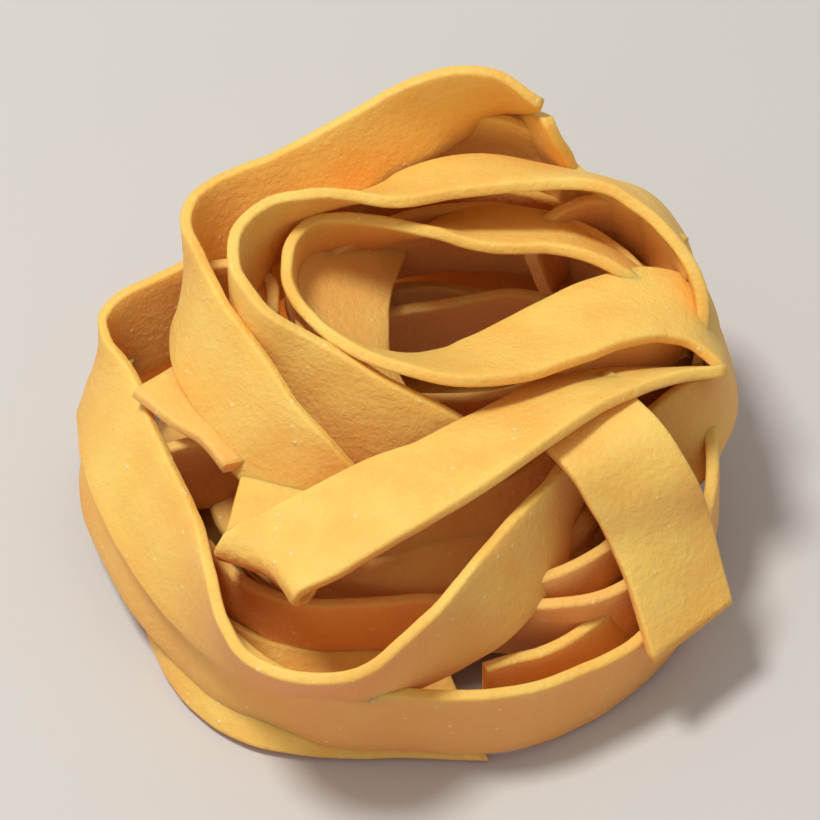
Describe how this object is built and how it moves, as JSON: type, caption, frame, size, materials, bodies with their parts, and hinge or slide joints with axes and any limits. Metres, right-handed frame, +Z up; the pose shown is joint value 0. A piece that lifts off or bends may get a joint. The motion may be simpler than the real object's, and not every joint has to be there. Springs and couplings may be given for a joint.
{
  "type": "dry pasta nest",
  "caption": "A nest of dried egg pasta: wide flat ribbons wound round an open hollow, folding and overlapping with cut ends showing, standing on the ribbons pressed flat underneath.",
  "frame": {"origin": "middle of the nest's outline in plan, on the surface it stands on", "axes": "+Z is up. The tall back fold of the nest is at +Y, the low open side that the picture looks over is at -Y, and +X is to the right seen from there."},
  "size_m": [0.0678, 0.0702, 0.0389],
  "materials": {
    "pasta": "dull dried egg pasta dough, faintly rough, slightly see-through at thin edges"
  },
  "bodies": {
    "root": {"pasta_nest": "pasta"}
  },
  "joints": []
}
